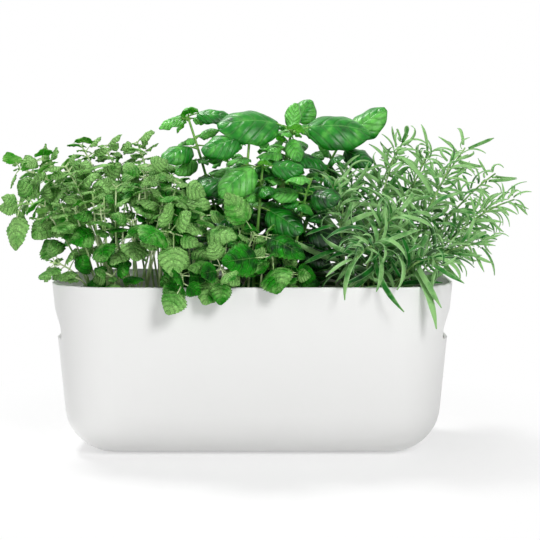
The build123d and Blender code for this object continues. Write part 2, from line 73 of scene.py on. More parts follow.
# basil
basil_leaf_length = 60.0
basil_leaf_width = 38.0
basil_stem_radius = 1.8

# rosemary
needle_length = 60.0
needle_width = 5.4
sprig_stem_radius = 1.2

# room that growth keeps: how near a leaf may come to what has grown before it, and the
# strip along the back of the mix that stays bare, for water to be poured on
balm_room = 3.4
basil_room = 3.6
needle_room = 1.9
stalk_room = 1.8
stem_room = 1.0
stem_step = 3.0
water_strip = 24.0
channel_strip = 40.0
channel_headroom = 14.0
seat_gap = 0.3

# how growth varies: shares of a leaf's usual length, bend and droop, and angles in radians
stem_taper_share = 0.3
top_pair_share = 0.98
base_size_share = 0.8
middle_swell_share = 0.35
middle_start_share = 0.2
top_loss_share = 0.25
length_range_shares = (0.85, 1.2)
bend_range_shares = (0.5, 1.2)
sag_range_shares = (0.3, 1.6)
turn_range = 0.6
lift_range = 0.25
retry_share = 0.88
tries = 6
steep_share = 0.75
stalk_point_shares = (0.25, 0.5, 0.75)
run_parts = 40
growth_seed = 7

# levels and half sizes that follow from these
mouth_top = tub_height
liner_top = tub_height - liner_below_rim
liner_half_depth = tub_depth / 2 - tub_wall - liner_gap - liner_below_rim * lean
liner_half_length = tub_length / 2 - tub_wall - fill_channel - liner_below_rim * lean
mix_top = liner_top - headroom
mix_half_length = liner_half_length - liner_wall - mix_gap - headroom * lean
mix_half_depth = liner_half_depth - liner_wall - mix_gap - headroom * lean
crown_reach = tub_length / 2 + crown_past_ends
crown_spread = tub_depth / 2 + crown_past_front


# small sums on points and directions, kept as plain triples
def added(a, b):
    return tuple(p + q for p, q in zip(a, b))


def less(a, b):
    return tuple(p - q for p, q in zip(a, b))


def scaled(a, size):
    return tuple(p * size for p in a)


def dot(a, b):
    return sum(p * q for p, q in zip(a, b))


def cross(a, b):
    return (a[1] * b[2] - a[2] * b[1], a[2] * b[0] - a[0] * b[2], a[0] * b[1] - a[1] * b[0])


def unit(a):
    return scaled(a, 1 / math.sqrt(dot(a, a)))


def square_to(a, axis):
    return unit(less(a, scaled(axis, dot(a, axis))))


def mixed(a, a_share, b, b_share):
    return added(scaled(a, a_share), scaled(b, b_share))


# directions, and how much of each a leaf's face takes: a steep leaf of its stem's heading
# and its own way out, a flat one of straight up, of its stem's heading and of its way out
above = (0, 0, 1)
along_tub = (1, 0.2, 0.1)
towards_light = (0, -0.65, 0.1)
steep_face_shares = (0.5, -0.8)
flat_face_shares = (0.8, 0.4, -0.1)


# distance of a point from a leaning round-cornered wall, below zero inside it
def wall_distance(point, half_length, half_depth, corner, top):
    drawn_in = (top - point[2]) * lean
    radius = corner - drawn_in
    past_x = abs(point[0]) - (half_length - drawn_in - radius)
    past_y = abs(point[1]) - (half_depth - drawn_in - radius)
    beyond = math.hypot(max(past_x, 0), max(past_y, 0))
    return beyond + min(max(past_x, past_y), 0) - radius


# growth stays off the tub, the liner and the mix, and what hangs outside stays clear
# of the mouth, which it passes as the liner lifts
def clear_of_tub(point, gap):
    x, y, z = point
    if abs(x) > liner_half_length - seat_gap and abs(y) < channel_strip:
        return z > mouth_top + channel_headroom
    if z > tub_height + gap:
        return True
    outside = wall_distance((x, y, mouth_top), tub_length / 2, tub_depth / 2,
                            tub_corner, mouth_top)
    if outside > gap:
        return z > gap
    inside = wall_distance(point, liner_half_length, liner_half_depth, liner_corner, liner_top)
    lowest = liner_top if y > mix_half_depth - water_strip else mix_top
    return inside < -(liner_wall + gap) and z > lowest + gap


# grown points by cell, each with its room and what it belongs to
grown = {}
cell_size = 2 * max(balm_room, basil_room, needle_room, 2 * basil_stem_radius + stem_room)


def cell_of(point):
    return tuple(math.floor(part / cell_size) for part in point)


def has_room(points, room, owner=None):
    for point in points:
        if not clear_of_tub(point, room / 2):
            return False
        middle = cell_of(point)
        for step in near_cells:
            for other, other_room, other_owner in grown.get(added(middle, step), ()):
                if other_owner != owner and math.dist(point, other) < (room + other_room) / 2:
                    return False
    return True


near_cells = [(x, y, z) for x in (-1, 0, 1) for y in (-1, 0, 1) for z in (-1, 0, 1)]


def take_room(points, room, owner):
    for point in points:
        grown.setdefault(cell_of(point), []).append((point, room, owner))


# stem: it rises from its root towards a knee and bends over to its tip
def stem_point(stem, t):
    root, knee, tip = stem
    first = mixed(root, (1 - t) ** 2, knee, 2 * t * (1 - t))
    return added(first, scaled(tip, t * t))


def stem_heading(stem, t):
    root, knee, tip = stem
    return unit(mixed(less(knee, root), 1 - t, less(tip, knee), t))


def stem_run(stem):
    points = [stem_point(stem, part / run_parts) for part in range(run_parts + 1)]
    return sum(math.dist(p, q) for p, q in zip(points, points[1:]))


# leaf: its base, the way its tip lies, the way it faces, its size, bend and cup
class Leaf:
    def __init__(self, base, ahead, face, length, width, bend, cup):
        face = square_to(face, ahead)
        self.base = base
        self.length = length
        self.width = width
        self.bend = bend
        self.cup = cup
        self.ahead = mixed(ahead, math.cos(bend / 2), face, math.sin(bend / 2))
        self.face = mixed(face, math.cos(bend / 2), ahead, -math.sin(bend / 2))
        self.side = cross(self.face, self.ahead)

    # point on the midrib with the midrib's heading and the blade's facing there
    def spine(self, share):
        turn = self.bend * share
        run = self.length * math.sin(turn) / self.bend
        fall = self.length * (1 - math.cos(turn)) / self.bend
        point = added(self.base, mixed(self.ahead, run, self.face, -fall))
        heading = mixed(self.ahead, math.cos(turn), self.face, -math.sin(turn))
        facing = mixed(self.ahead, math.sin(turn), self.face, math.cos(turn))
        return point, heading, facing

    # point on the blade, across from the midrib by a share of the half width there
    def blade(self, share, across, half):
        point, heading, facing = self.spine(share)
        drop = self.cup * half * across * across
        return added(point, mixed(self.side, half * across, facing, -drop))


# half width of each blade along it, both as shares, the stalk first
balm_outline_shares = ((0.0, 0.05), (0.24, 0.05), (0.34, 0.72), (0.5, 1.0),
                       (0.72, 0.8), (0.9, 0.36), (1.0, 0.04))
basil_outline_shares = ((0.0, 0.05), (0.14, 0.05), (0.28, 0.62), (0.5, 1.0),
                        (0.74, 0.84), (0.91, 0.42), (1.0, 0.04))
needle_outline_shares = ((0.0, 0.4), (0.16, 0.85), (0.45, 1.0), (0.74, 0.95), (1.0, 0.12))


def half_width_share(outline, share):
    for (near, near_width), (far, far_width) in zip(outline, outline[1:]):
        if share <= far:
            return near_width + (far_width - near_width) * (share - near) / (far - near)
    return 0.0


# habit of a herb: sizes of its leaves, and how they stand on the stem
class Habit:
    def __init__(self, leaf_length, leaf_width, stem_radius, room, outline_shares,
                 stalk_share, bend, cup, pairs, first_share, spread, gain, sag, roll, wander):
        self.leaf_length = leaf_length
        self.width_share = leaf_width / leaf_length
        self.stem_radius = stem_radius
        self.room = room
        self.outline_shares = outline_shares
        self.stalk_share = stalk_share
        self.bend = bend
        self.cup = cup
        self.pairs = pairs
        self.first_share = first_share
        self.spread = spread
        self.gain = gain
        self.sag = sag
        self.roll = roll
        self.wander = wander

    def radius_at(self, t):
        return self.stem_radius * (1 - stem_taper_share * t)

    def blade_points(self, leaf):
        start = self.stalk_share
        rows = max(3, round(leaf.length * (1 - start) / self.room))
        points = []
        for row in range(rows + 1):
            share = start + (1 - start) * row / rows
            half = leaf.width / 2 * half_width_share(self.outline_shares, share)
            gaps = max(1, round(2 * half / self.room))
            if gaps == 1:
                points.append(leaf.blade(share, 0, half))
                continue
            for place in range(gaps + 1):
                points.append(leaf.blade(share, 2 * place / gaps - 1, half))
        return points

    def stalk_points(self, leaf):
        return [leaf.spine(self.stalk_share * share)[0] for share in stalk_point_shares]


lemon_balm = Habit(balm_leaf_length, balm_leaf_width, balm_stem_radius,
                   balm_room, balm_outline_shares, stalk_share=0.28, bend=0.7, cup=0.25,
                   pairs=5, first_share=0.60, spread=0.15, gain=0.35, sag=0.35, roll=0.5,
                   wander=1.0)
basil = Habit(basil_leaf_length, basil_leaf_width, basil_stem_radius,
              basil_room, basil_outline_shares, stalk_share=0.20, bend=1.1, cup=0.5,
              pairs=5, first_share=0.30, spread=0.10, gain=0.35, sag=0.55, roll=0.5,
              wander=1.0)
rosemary = Habit(needle_length, needle_width, sprig_stem_radius,
                 needle_room, needle_outline_shares, stalk_share=0.12, bend=2.4, cup=0.0,
                 pairs=12, first_share=0.12, spread=0.45, gain=0.30, sag=0.15, roll=1.5,
                 wander=2.2)

# shoots: root as shares of the mix's half length and half depth, knee and tip as shares
# of the crown's reach, spread and rise, and the share of their usual size that its leaves
# have
balm_shoot_shares = [
    ((-0.91, -0.21), (-0.60, -0.20, 0.50), (-0.79, -0.25, 0.46), 0.95),
    ((-0.86, 0.14), (-0.56, 0.12, 0.55), (-0.83, 0.17, 0.62), 0.95),
    ((-0.89, -0.03), (-0.58, -0.05, 0.50), (-0.72, -0.17, 0.67), 0.95),
    ((-0.79, -0.35), (-0.55, -0.30, 0.45), (-0.63, -0.34, 0.64), 0.95),
    ((-0.76, 0.17), (-0.50, 0.12, 0.50), (-0.60, 0.08, 0.73), 0.95),
    ((-0.65, 0.35), (-0.42, 0.25, 0.50), (-0.53, 0.25, 0.72), 0.95),
    ((-0.57, 0.14), (-0.33, 0.12, 0.50), (-0.41, 0.17, 0.75), 1.0),
    ((-0.57, -0.39), (-0.36, -0.40, 0.40), (-0.36, -0.50, 0.64), 1.0),
    ((-0.77, -0.49), (-0.50, -0.50, 0.30), (-0.50, -0.60, 0.46), 0.85),
    ((-0.65, -0.53), (-0.40, -0.60, 0.30), (-0.39, -0.68, 0.40), 0.9),
    ((-0.74, -0.56), (-0.45, -0.55, 0.16), (-0.47, -0.66, 0.15), 0.8),
    ((-0.90, -0.50), (-0.60, -0.42, 0.20), (-0.68, -0.46, 0.20), 0.8),
    ((-0.86, 0.49), (-0.55, 0.40, 0.40), (-0.72, 0.55, 0.55), 0.85),
    ((-0.72, 0.59), (-0.45, 0.50, 0.50), (-0.52, 0.62, 0.62), 0.9),
    ((-0.58, 0.53), (-0.33, 0.50, 0.45), (-0.30, 0.60, 0.60), 0.95),
    ((-0.79, 0.65), (-0.48, 0.70, 0.30), (-0.50, 0.86, 0.20), 0.9),
    ((-0.62, -0.67), (-0.34, -0.60, 0.25), (-0.24, -0.60, 0.57), 1.0),
    ((-0.53, -0.70), (-0.31, -0.72, 0.42), (-0.25, -0.80, 0.34), 1.0),
    ((-0.34, -0.56), (-0.20, -0.55, 0.35), (-0.16, -0.60, 0.42), 1.0),
    ((-0.14, -0.59), (-0.04, -0.55, 0.20), (0.01, -0.64, 0.34), 1.0),
    ((0.10, -0.59), (0.08, -0.75, 0.28), (0.06, -0.80, 0.24), 1.0),
    ((-0.21, -0.70), (-0.11, -0.75, 0.28), (-0.09, -0.93, 0.17), 0.9),
    ((-0.40, -0.70), (-0.23, -0.72, 0.24), (-0.22, -0.95, 0.13), 0.9),
]
basil_shoot_shares = [
    ((0.09, 0.00), (0.08, 0.00, 0.50), (0.135, -0.03, 0.80), 0.9),
    ((-0.09, -0.14), (-0.03, -0.15, 0.45), (-0.01, -0.21, 0.76), 1.0),
    ((-0.10, 0.17), (-0.14, 0.14, 0.50), (-0.23, 0.17, 0.87), 0.85),
    ((0.00, -0.35), (0.02, -0.32, 0.40), (0.035, -0.30, 0.64), 0.95),
    ((0.14, 0.28), (0.10, 0.30, 0.55), (0.14, 0.40, 0.82), 0.9),
    ((0.21, 0.14), (0.20, 0.15, 0.50), (0.31, 0.28, 0.74), 0.95),
    ((0.00, 0.42), (-0.05, 0.40, 0.40), (-0.10, 0.60, 0.68), 1.0),
    ((0.22, -0.17), (0.15, -0.30, 0.40), (0.20, -0.35, 0.58), 0.85),
    ((0.17, 0.46), (0.16, 0.45, 0.35), (0.28, 0.60, 0.55), 0.9),
    ((-0.21, 0.39), (-0.18, 0.35, 0.35), (-0.26, 0.50, 0.50), 0.9),
]
rosemary_sprig_shares = [
    ((0.69, 0.00), (0.42, 0.00, 0.45), (0.51, 0.08, 0.72), 1.0),
    ((0.62, 0.21), (0.40, 0.20, 0.50), (0.55, 0.25, 0.78), 0.95),
    ((0.77, 0.11), (0.50, 0.08, 0.40), (0.62, 0.10, 0.70), 1.0),
    ((0.81, -0.14), (0.56, -0.15, 0.30), (0.68, -0.25, 0.66), 1.1),
    ((0.83, 0.14), (0.60, 0.10, 0.45), (0.74, 0.02, 0.72), 0.9),
    ((0.86, 0.00), (0.68, 0.00, 0.45), (0.84, -0.08, 0.60), 0.8),
    ((0.89, -0.17), (0.70, -0.15, 0.40), (0.90, -0.17, 0.48), 0.8),
    ((0.86, -0.35), (0.62, -0.35, 0.30), (0.80, -0.35, 0.28), 0.85),
    ((0.69, -0.42), (0.45, -0.60, 0.40), (0.34, -0.85, 0.24), 1.15),
    ((0.57, -0.28), (0.30, -0.35, 0.40), (0.27, -0.38, 0.55), 1.05),
    ((0.62, -0.49), (0.40, -0.50, 0.35), (0.48, -0.60, 0.42), 1.15),
    ((0.77, -0.53), (0.55, -0.60, 0.30), (0.62, -0.70, 0.20), 1.0),
    ((0.72, 0.49), (0.50, 0.45, 0.45), (0.62, 0.60, 0.60), 1.0),
    ((0.60, 0.53), (0.36, 0.50, 0.40), (0.36, 0.65, 0.60), 1.0),
    ((0.86, 0.42), (0.65, 0.40, 0.30), (0.85, 0.45, 0.42), 0.9),
    ((0.81, 0.59), (0.55, 0.70, 0.25), (0.60, 0.88, 0.15), 0.95),
    ((0.55, 0.07), (0.30, 0.05, 0.40), (0.33, 0.00, 0.62), 1.0),
]

# leaves set one by one: which shoot, how far up it, the leaf's tip as shares of the crown,
# its width as a share of its length, the way it faces, and its bend
balm_leaf_shares = [
    (0, 1.00, (-0.80, -0.38, 0.25), 0.62, (-0.5, -0.8, 0.2), 0.7),
    (0, 0.96, (-0.87, -0.22, 0.44), 0.75, (-0.2, -0.8, 0.5), 0.6),
    (9, 1.00, (-0.37, -0.76, 0.325), 0.90, (0.0, -0.9, 0.4), 0.4),
    (19, 1.00, (-0.085, -0.70, 0.52), 0.62, (0.3, -0.9, 0.3), 0.4),
    (19, 0.98, (0.175, -0.78, 0.235), 0.60, (0.2, -0.7, 0.8), 0.8),
    (20, 1.00, (-0.095, -0.94, 0.225), 0.74, (0.0, -0.95, 0.35), 0.4),
    (17, 1.00, (-0.25, -0.92, 0.16), 0.75, (0.1, -1.0, 0.3), 0.4),
    (21, 1.00, (-0.10, -0.97, 0.04), 0.75, (0.2, -1.0, 0.2), 0.3),
    (22, 1.00, (-0.27, -0.99, 0.00), 0.85, (-0.1, -1.0, 0.3), 0.4),
]
basil_leaf_shares = [
    (0, 1.00, (-0.12, -0.23, 0.82), 0.62, (-0.1, -0.75, 0.7), 1.2),
    (0, 0.99, (0.41, 0.00, 0.79), 0.60, (0.1, -0.75, 0.7), 1.1),
    (0, 0.98, (0.15, 0.06, 0.93), 0.55, (0.2, -0.95, 0.2), 0.4),
    (0, 0.97, (0.155, -0.20, 0.655), 0.60, (0.3, -0.9, 0.3), 0.6),
    (1, 1.00, (-0.17, -0.33, 0.70), 0.62, (-0.1, -0.8, 0.6), 1.0),
    (2, 1.00, (-0.07, 0.10, 0.86), 0.50, (0.1, -0.7, 0.8), 0.9),
    (2, 0.98, (-0.33, 0.13, 0.81), 0.52, (-0.1, -0.6, 0.8), 1.4),
    (2, 0.80, (-0.31, -0.10, 0.66), 0.62, (-0.2, -0.8, 0.6), 1.1),
    (3, 1.00, (-0.11, -0.46, 0.50), 0.66, (-0.1, -0.8, 0.6), 1.2),
    (4, 1.00, (0.21, 0.45, 0.95), 0.80, (0.0, -0.8, 0.5), 0.9),
    (5, 1.00, (0.47, 0.30, 0.91), 0.60, (-0.2, -0.8, 0.6), 0.6),
    (5, 0.95, (0.42, 0.12, 0.64), 0.60, (0.1, -0.8, 0.5), 0.8),
]
rosemary_leaf_shares = [
    (8, 0.60, (0.49, -0.97, 0.01), 0.085, (-0.8, -0.5, 0.2), 1.1),
    (8, 0.50, (0.47, -0.88, 0.10), 0.10, (0.7, -0.3, 0.5), 2.5),
    (8, 0.62, (0.40, -0.99, 0.10), 0.10, (0.6, -0.6, 0.3), 1.2),
    (8, 0.80, (0.30, -0.95, 0.06), 0.10, (-0.6, -0.6, 0.3), 1.4),
    (8, 1.00, (0.24, -0.90, 0.16), 0.11, (0.0, -0.6, 0.8), 0.9),
]


def root_place(x_share, y_share):
    return (x_share * mix_half_length, y_share * mix_half_depth, mix_top)


def crown_place(x_share, y_share, z_share):
    return (x_share * crown_reach, y_share * crown_spread, mix_top + z_share * crown_rise)


# shoot: its node's name, its herb's habit, its stem and its leaves
class Shoot:
    def __init__(self, name, habit, root, knee, tip, size_share):
        self.name = name
        self.size_share = size_share
        self.habit = habit
        self.stem = (root_place(*root), crown_place(*knee), crown_place(*tip))
        self.leaves = []
        steps = round(stem_run(self.stem) / stem_step)
        points = [stem_point(self.stem, step / steps) for step in range(steps + 1)]
        take_room(points, 2 * habit.stem_radius + stem_room, name)

    # seat at the stem's side, towards a direction square to the stem
    def seat(self, t, out):
        reach = self.habit.radius_at(t) + seat_gap
        return added(stem_point(self.stem, t), scaled(out, reach))

    def leaf(self, base, ahead, face, length, width_share, bend):
        return Leaf(base, ahead, face, length, length * width_share, bend, self.habit.cup)

    def keep(self, leaf):
        take_room(self.habit.blade_points(leaf), self.habit.room, leaf)
        take_room(self.habit.stalk_points(leaf), stalk_room, leaf)
        self.leaves.append(leaf)

    def fits(self, leaf):
        if not has_room(self.habit.blade_points(leaf), self.habit.room):
            return False
        return has_room(self.habit.stalk_points(leaf), stalk_room, self.name)

    def set_leaf(self, t, tip, width_share, face, bend):
        goal = crown_place(*tip)
        out = square_to(less(goal, stem_point(self.stem, t)), stem_heading(self.stem, t))
        base = self.seat(t, out)
        length = math.dist(base, goal) * (bend / 2) / math.sin(bend / 2)
        self.keep(self.leaf(base, unit(less(goal, base)), face, length, width_share, bend))

    # size of the leaves at a share of the way from the lowest pair to the top one
    def size_at(self, share):
        middle = math.sin(math.pi * min(1, share + middle_start_share))
        swell = base_size_share + middle_swell_share * middle
        return self.habit.leaf_length * self.size_share * swell * (1 - top_loss_share * share)

    # way a leaf faces that sets off ahead from a stem with this heading
    def face_of(self, ahead, out, heading):
        if dot(ahead, above) > steep_share:
            face = mixed(heading, steep_face_shares[0], out, steep_face_shares[1])
        else:
            face = mixed(above, flat_face_shares[0], heading, flat_face_shares[1])
            face = added(face, scaled(out, flat_face_shares[2]))
        return square_to(added(face, towards_light), ahead)

    # opposite pairs up the stem, each a quarter turn on from the last;
    # a leaf that meets another is turned and shortened, and at last left off
    def grow_pairs(self, draws):
        habit = self.habit
        phase = draws.uniform(0, math.pi)
        for pair in range(habit.pairs):
            share = pair / (habit.pairs - 1)
            t = habit.first_share + (1 - habit.first_share) * share * top_pair_share
            heading = stem_heading(self.stem, t)
            side = square_to(along_tub, heading)
            other = cross(heading, side)
            for half_turn in (0, math.pi):
                length = self.size_at(share) * draws.uniform(*length_range_shares)
                bend = habit.bend * draws.uniform(*bend_range_shares)
                for attempt in range(tries):
                    turn = phase + pair * math.pi / 2 + half_turn
                    turn += habit.wander * draws.uniform(-turn_range, turn_range)
                    out = mixed(side, math.cos(turn), other, math.sin(turn))
                    lift = habit.spread + habit.gain * share
                    lift += habit.wander * draws.uniform(-lift_range, lift_range)
                    sag = habit.sag * draws.uniform(*sag_range_shares)
                    ahead = mixed(out, math.cos(lift), heading, math.sin(lift))
                    ahead = unit(mixed(ahead, 1, above, -sag))
                    face = self.face_of(ahead, out, heading)
                    roll = habit.roll * draws.uniform(-1, 1)
                    face = mixed(face, math.cos(roll), cross(ahead, face), math.sin(roll))
                    leaf = self.leaf(self.seat(t, out), ahead, face, length,
                                     habit.width_share, bend)
                    if self.fits(leaf):
                        self.keep(leaf)
                        break
                    length *= retry_share


def grow():
    herbs = [("lemon_balm_shoot", lemon_balm, balm_shoot_shares, balm_leaf_shares),
             ("basil_shoot", basil, basil_shoot_shares, basil_leaf_shares),
             ("rosemary_sprig", rosemary, rosemary_sprig_shares, rosemary_leaf_shares)]
    shoots = []
    placed = []
    for name, habit, shoot_shares, leaf_shares in herbs:
        first = len(shoots)
        for number, row in enumerate(shoot_shares):
            shoots.append(Shoot(f"{name}_{number + 1:02d}", habit, *row))
        for number, *row in leaf_shares:
            placed.append((shoots[first + number], row))
    for shoot, row in placed:
        shoot.set_leaf(*row)
    draws = random.Random(growth_seed)
    for shoot in shoots:
        shoot.grow_pairs(draws)
    return shoots


# smaller growth, which the model leaves out: the habit that young leaves follow, how many
# pairs and rounds of them a stem gets, how many side stems stand close beside a shoot's own,
# and how far off their roots and tips are in millimetres
class Filling:
    def __init__(self, habit, leaf_share, pairs, first_share, rounds, side_stems, root_step,
                 tip_step):
        self.habit = copy.copy(habit)
        self.habit.leaf_length = habit.leaf_length * leaf_share
        self.habit.pairs = pairs
        self.habit.first_share = first_share
        self.rounds = rounds
        self.side_stems = side_stems
        self.root_step = root_step
        self.tip_step = tip_step


balm_filling = Filling(lemon_balm, leaf_share=0.75, pairs=6, first_share=0.72, rounds=2,
                       side_stems=2, root_step=9.0, tip_step=22.0)
basil_filling = Filling(basil, leaf_share=0.85, pairs=8, first_share=0.12, rounds=3,
                        side_stems=3, root_step=14.0, tip_step=34.0)
rosemary_filling = Filling(rosemary, leaf_share=0.85, pairs=20, first_share=0.08, rounds=2,
                           side_stems=1, root_step=10.0, tip_step=30.0)

# side stems and bare stems: leaf sizes as a share of the main stem's, how far a tip falls
# or rises as shares of its step, how often a place is tried, and the seed of the draws
side_size_share = 0.9
side_rise_shares = (-1, 0.2)
side_tries = 12
filling_seed = 11

# stems set one by one that stand bare in front: the lemon balm shoot that each belongs to,
# its root as shares of the mix, and its knee and tip as shares of the crown
bare_stem_shares = [
    (3, (-0.93, -0.35), (-0.60, -0.32, 0.25), (-0.69, -0.36, 0.42)),
    (3, (-0.92, -0.45), (-0.58, -0.42, 0.25), (-0.64, -0.46, 0.47)),
    (3, (-0.88, -0.54), (-0.55, -0.50, 0.25), (-0.59, -0.52, 0.45)),
    (3, (-0.84, -0.58), (-0.52, -0.52, 0.30), (-0.53, -0.52, 0.52)),
    (8, (-0.80, -0.62), (-0.49, -0.56, 0.28), (-0.49, -0.56, 0.50)),
    (8, (-0.76, -0.60), (-0.46, -0.55, 0.30), (-0.45, -0.54, 0.55)),
    (8, (-0.72, -0.64), (-0.44, -0.58, 0.25), (-0.42, -0.58, 0.47)),
    (9, (-0.68, -0.66), (-0.40, -0.60, 0.28), (-0.37, -0.58, 0.52)),
    (9, (-0.66, -0.62), (-0.36, -0.55, 0.25), (-0.26, -0.50, 0.55)),
    (9, (-0.63, -0.68), (-0.34, -0.62, 0.22), (-0.29, -0.60, 0.50)),
    (18, (-0.33, -0.70), (-0.20, -0.60, 0.18), (-0.19, -0.56, 0.34)),
    (18, (-0.25, -0.66), (-0.14, -0.56, 0.18), (-0.13, -0.52, 0.36)),
    (18, (-0.18, -0.72), (-0.10, -0.60, 0.18), (-0.08, -0.56, 0.33)),
    (19, (-0.10, -0.68), (-0.05, -0.58, 0.18), (-0.04, -0.54, 0.35)),
    (19, (-0.03, -0.72), (-0.01, -0.60, 0.18), (0.01, -0.56, 0.32)),
    (19, (0.04, -0.70), (0.03, -0.58, 0.18), (0.05, -0.54, 0.33)),
]


def bare_stems(shoot):
    stems = []
    for number, *places in bare_stem_shares:
        if shoot.name == f"lemon_balm_shoot_{number + 1:02d}":
            stems.append(Shoot(shoot.name, shoot.habit, *places, side_size_share))
    return stems


# stem beside a shoot's own, no farther off than its filling says
def side_shoot(shoot, filling, draws):
    made = copy.copy(shoot)
    root, knee, tip = shoot.stem
    root_off = (draws.uniform(-1, 1), draws.uniform(-1, 1), 0)
    rise = draws.uniform(*side_rise_shares)
    tip_off = (draws.uniform(-1, 1), draws.uniform(-1, 1), rise)
    made.stem = (added(root, scaled(root_off, filling.root_step)),
                 added(knee, scaled(tip_off, filling.tip_step / 2)),
                 added(tip, scaled(tip_off, filling.tip_step)))
    made.size_share = shoot.size_share * side_size_share
    made.leaves = []
    return made


def stem_is_clear(shoot):
    steps = round(stem_run(shoot.stem) / stem_step)
    points = [stem_point(shoot.stem, step / steps) for step in range(1, steps + 1)]
    room = 2 * shoot.habit.stem_radius + stem_room
    if not has_room(points, room):
        return False
    take_room(points, room, shoot.name)
    return True


# all stems of one shoot: its own, the bare ones, and side stems with full leaves where one
# finds room; young leaves then grow on every stem in the room that is left
def filled(shoot, filling, draws):
    stems = [shoot, *bare_stems(shoot)]
    for number in range(filling.side_stems):
        for attempt in range(side_tries):
            beside = side_shoot(shoot, filling, draws)
            if stem_is_clear(beside):
                beside.grow_pairs(draws)
                stems.append(beside)
                break
    for stem in stems:
        full = stem.habit
        count = len(stem.leaves)
        stem.habit = filling.habit
        for number in range(filling.rounds):
            stem.grow_pairs(draws)
        stem.habit = full
        stem.young = set(stem.leaves[count:])
    return stems


def metres(point):
    return tuple(part * mm for part in point)


# selects these pieces and nothing else, the first one active
def select_only(*pieces):
    bpy.ops.object.select_all(action="DESELECT")
    for piece in pieces:
        piece.select_set(True)
    if pieces:
        bpy.context.view_layer.objects.active = pieces[0]


# makes one piece of several, keeping the first one's name
def joined(pieces):
    select_only(*pieces)
    if len(pieces) > 1:
        bpy.ops.object.join()
    return pieces[0]


def finish_in(piece, *materials):
    piece.data.materials.clear()
    for material in materials:
        piece.data.materials.append(material)


def smooth_step(share):
    share = min(1.0, max(0.0, share))
    return share * share * (3 - 2 * share)


# blade: how far along it its outline is eased, the power by which side veins curve towards
# its tip, the share of a tooth that rises, how wide the sunk midrib is as a share of the
# half width, and how many times the margin waves, with a slant from one side to the other
ease_reach = 0.05
vein_bend = 1.4
tooth_front_share = 0.3
midrib_share = 0.14
waves_along = 2.2
wave_slant = 0.3


# half width of a grown blade: the habit's outline with its corners eased
def eased_width(outline, share):
    near = half_width_share(outline, max(0.0, share - ease_reach))
    far = half_width_share(outline, min(1.0, share + ease_reach))
    return (near + 2 * half_width_share(outline, share) + far) / 4


# form of one herb's blade: rows along and columns across, teeth on each margin and how far
# they stand out, pairs of side veins and their slope, how many millimetres the blade swells
# between them, sinks along the midrib and waves at its margin, and how blunt its outline is
class BladeForm:
    def __init__(self, rows, columns, teeth=0, tooth_share=0.0, vein_pairs=0, vein_slope=0.0,
                 swell=0.0, groove=0.0, wave=0.0, bluntness=0.0):
        self.rows = rows
        self.columns = columns
        self.teeth = teeth
        self.tooth_share = tooth_share
        self.vein_pairs = vein_pairs
        self.vein_slope = vein_slope
        self.swell = swell
        self.groove = groove
        self.wave = wave
        self.bluntness = bluntness

    # blunt tooth: quick out, slow back
    def tooth(self, share):
        if not self.teeth:
            return 0.0
        turn = (share * self.teeth) % 1.0
        if turn < tooth_front_share:
            return smooth_step(turn / tooth_front_share)
        return smooth_step((1 - turn) / (1 - tooth_front_share))

    # 0 on the side veins and 1 midway between them
    def vein_wave(self, along, across):
        place = along * self.vein_pairs - abs(across) ** vein_bend * self.vein_slope
        return abs(math.sin(math.pi * place))

    # point on the grown blade; along runs from 0 at the stalk to 1 at the tip, and swells
    # and groove die out towards both ends
    def point(self, leaf, habit, along, across, phase):
        start = habit.stalk_share
        share = start + (1 - start) * along
        half = leaf.width / 2 * eased_width(habit.outline_shares, share) ** (1 - self.bluntness)
        half *= 1 + self.tooth_share * (self.tooth(along) - 0.5)
        side = abs(across)
        midrib = math.exp(-(side / midrib_share) ** 2)
        body = math.sin(math.pi * min(1.0, max(0.0, along)))
        dome = self.vein_wave(along, across) * (1 - midrib) * (1 - side ** 4)
        turn = 2 * math.pi * (waves_along * along + phase + wave_slant * across)
        relief = body * (self.swell * dome - self.groove * midrib)
        relief += self.wave * side ** 3 * math.sin(turn)
        facing = leaf.spine(share)[2]
        return added(leaf.blade(share, across, half), scaled(facing, relief))


balm_blade = BladeForm(rows=27, columns=6, teeth=9, tooth_share=0.13, vein_pairs=5,
                       vein_slope=1.3, swell=0.55, groove=0.35, wave=0.7, bluntness=0.15)
young_balm_blade = BladeForm(rows=18, columns=4, teeth=6, tooth_share=0.15, vein_pairs=4,
                             vein_slope=1.3, swell=0.5, groove=0.3, wave=0.8,
                             bluntness=0.15)
basil_blade = BladeForm(rows=20, columns=10, vein_pairs=5, vein_slope=1.5, swell=0.8,
                        groove=1.2, wave=1.2, bluntness=0.35)
young_basil_blade = BladeForm(rows=12, columns=6, vein_pairs=4, vein_slope=1.5, swell=0.8,
                              groove=0.7, wave=0.8, bluntness=0.35)
needle = BladeForm(rows=10, columns=2, groove=0.6)
young_needle = BladeForm(rows=8, columns=2, groove=0.5)


# flat blade to copy, across from -1 to 1 and along from -1 to 1, with its own map
def blank_blade(form):
    select_only()
    bpy.ops.mesh.primitive_grid_add(x_subdivisions=form.columns, y_subdivisions=form.rows,
                                    size=2, calc_uvs=True)
    return bpy.context.object


# painted light on a leaf, laid into its tone: the share of its length at which it is read, the
# height at which the crown is fully lit, the way out from the crown's middle over which painted
# shade turns to painted light, and how much of a leaf's tone is chance, how much is painted
# light, and how light old and young ones are
light_read_share = 0.6
light_z = 310.0
shade_ends = 0.25
shade_to_light = 0.85
chance_share = 0.65
exposure_share = 0.5
old_light_share = 0.72
young_light_share = 1.0


# how far out in the light a leaf stands, from 0 deep in the crown to 1 at its edge; it paints
# shade into the tone of leaves deep inside
def exposure(leaf):
    point = leaf.spine(light_read_share)[0]
    rise = (point[2] - mouth_top) / (light_z - mouth_top)
    out = math.hypot(point[0] / crown_reach, rise)
    return smooth_step((out - shade_ends) / shade_to_light)


